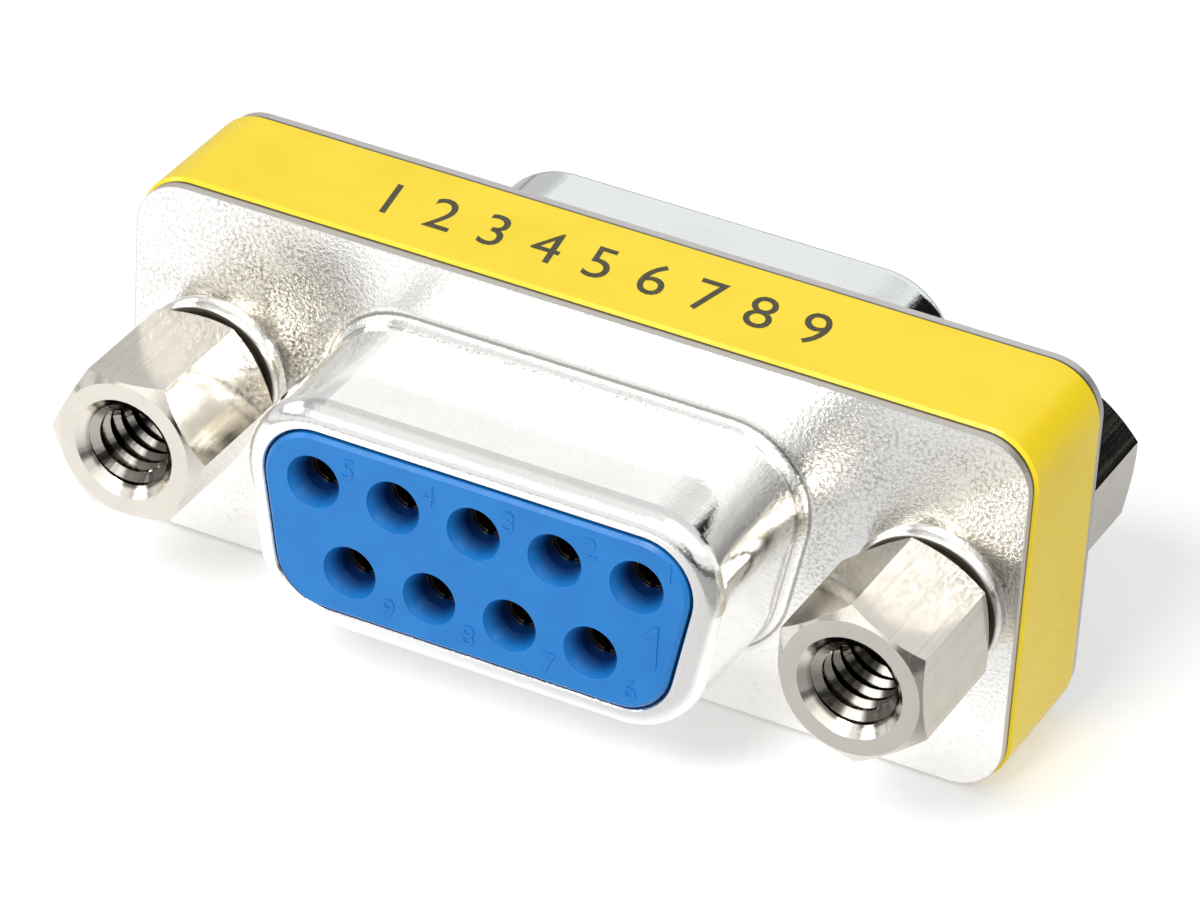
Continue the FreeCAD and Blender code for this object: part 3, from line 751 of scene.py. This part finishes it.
# How the plating mirrors the floor, in millimetres from the middle: its glow, and what dims it
mirroredFloor = {
    "glow": (4.0, 16.0, 1.0, 0.25),                # from front to back
    "brighter": ((-9.0, -3.0), (-3.0, 2.0), 0.5),  # a strip under the front, along Y, and how much
    "front": ((-10.0, 8.0), (-12.0, -7.0, 1.0, 0.0), 0.40),  # in front, towards the right
    "right": ((14.0, 20.0), 0.35),                 # beyond the right end
    "back": ((4.0, 14.0), 0.25),
    "far": ((90.0, 160.0), 0.6),                   # all round
    "dim": 0.9,
}


def makeFloor():
    mesh = bpy.data.meshes.new("floor")
    reach = studio["floorReach"] * mm
    mesh.from_pydata([(-reach, -reach, 0), (reach, -reach, 0), (reach, reach, 0), (-reach, reach, 0)],
                     [], [(0, 1, 2, 3)])
    material = bpy.data.materials.new("floorPaper")
    material.use_nodes = True
    sheet = Sheet(material.node_tree)
    seen = sheet.put("ShaderNodeLightPath", out="Is Camera Ray")
    mirrored = sheet.put("ShaderNodeLightPath", out="Is Glossy Ray")
    through = sheet.put("ShaderNodeLightPath", out="Is Transmission Ray")
    share = (seen + mirrored + through).atMost(1.0)
    paper = sheet.put("ShaderNodeBsdfDiffuse", None, {"Color": (*studio["floorColour"], 1)})
    f = mirroredFloor
    x, y, z = sheet.parts(sheet.place())
    rise, fall, more = f["brighter"]
    glow = y.step(*f["glow"]) + y.between(rise, fall) * more
    (alongX, alongY, front), (end, right) = f["front"], f["right"]
    (behind, back), (outside, most) = f["back"], f["far"]
    aside = x.step(*alongX) * y.step(*alongY) * front + x.step(*end) * right
    far = ((x * x + y * y) ** 0.5).step(*outside) * most
    dim = far.atLeast(aside).atLeast(y.step(*behind) * back) * f["dim"]
    strength = (seen + (share - seen).atLeast(0.0) * glow) * studio["floorGlow"]
    lit = sheet.put("ShaderNodeEmission", None, {"Strength": strength})
    both = sheet.put("ShaderNodeAddShader", None, {0: paper, 1: lit})
    dark = sheet.put("ShaderNodeBsdfDiffuse", None, {"Color": (*studio["floorDark"], 1)})
    table = sheet.put("ShaderNodeMixShader", None, {0: mirrored * dim, 1: both, 2: dark})
    sheet.put("ShaderNodeOutputMaterial", None, {"Surface": table})
    mesh.materials.append(material)
    floor = bpy.data.objects.new("floor", mesh)
    scene.collection.objects.link(floor)


# What the plating mirrors of the room, by the direction's X, Y and Z: bright walls and ceiling,
# a window in front on the left, and dark corners
mirroredRoom = {
    "behind": (-0.1, 0.3),                       # the front passes into the rear, along Y
    "right": (-0.1, 0.2),                        # the front's left passes into its right, along X
    "left": (1.15, (0.30, 0.42), (0.65, 0.75), 0.5),  # level, and a brighter belt along Z
    "farLeft": ((-0.62, -0.48, 1.0, 0.0), (0.18, 0.26), 0.45),  # darker: along X, along Z, share
    "rightUp": (0.13, 0.26, 0.2, 1.15),          # dark at the foot
    "rightTop": ((0.42, 0.56), 0.6),             # and brighter above
    # a shade between two places along X, which thins and ends along Z
    "shade": ((0.26, 0.36), (0.46, 0.54), (0.32, 0.44, 1.0, 0.35), (0.5, 0.6, 1.0, 0.0), 0.8),
    "windowAcross": ((-0.94, -0.90), (-0.72, -0.68)),
    "windowUp": ((0.34, 0.38), (0.60, 0.64)),
    "windowLight": 9.0,
    "rear": (-0.50, -0.40, 0.85, 1.3),           # brighter to the right
    "rearTop": (0.55, 0.66, 1.0, 0.72),
    "cornerAcross": ((0.26, 0.36), (0.60, 0.74)),
    "cornerUp": (0.57, 0.66, 1.0, 0.0),
    "cornerDark": 0.99,
}


def makeRoom():
    world = bpy.data.worlds.new("room")
    scene.world = world
    world.use_nodes = True
    sheet = Sheet(world.node_tree)
    x, y, z = sheet.parts(sheet.put("ShaderNodeTexCoord", out="Generated"))
    seen = sheet.put("ShaderNodeLightPath", out="Is Camera Ray")
    mirrored = sheet.put("ShaderNodeLightPath", out="Is Glossy Ray")
    f = mirroredRoom
    plain, rise, fall, more = f["left"]
    alongX, alongZ, darker = f["farLeft"]
    left = (plain + z.between(rise, fall) * more) * (1 - x.step(*alongX) * z.step(*alongZ) * darker)
    rise, fall, thinner, top, darker = f["shade"]
    shade = x.between(rise, fall) * z.step(*thinner) * z.step(*top)
    span, more = f["rightTop"]
    right = (z.step(*f["rightUp"]) + z.step(*span) * more) * (1 - shade * darker)
    window = x.between(*f["windowAcross"]) * z.between(*f["windowUp"])
    front = left.toward(right, x.step(*f["right"])) + window * f["windowLight"]
    corner = x.between(*f["cornerAcross"]) * z.step(*f["cornerUp"])
    rear = x.step(*f["rear"]) * z.step(*f["rearTop"]) * (1 - corner * f["cornerDark"])
    mirror = front.toward(rear, y.step(*f["behind"]))
    level = mirror * mirrored + (1 - mirrored) * studio["room"]
    level = seen + (1 - seen) * level
    sky = sheet.put("ShaderNodeBackground", None, {"Strength": level})
    sheet.put("ShaderNodeOutputWorld", None, {"Surface": sky})


lamps = {
    # name: where, how wide, watts
    "keyLamp": ((-50, -290, 320), 150, 1.05),
    "fillLamp": ((230, -130, 270), 100, 0.16),
}


def makeLamp(name, where, wide, watts):
    data = bpy.data.lights.new(name, "AREA")
    data.size = wide * mm
    data.energy = watts
    lamp = bpy.data.objects.new(name, data)
    lamp.location = Vector(where) * mm
    lamp.rotation_euler = (-lamp.location).to_track_quat("-Z", "Y").to_euler()
    scene.collection.objects.link(lamp)


makeFloor()
makeRoom()
for name, (where, wide, watts) in lamps.items():
    makeLamp(name, where, wide, watts)
print("stage lit")
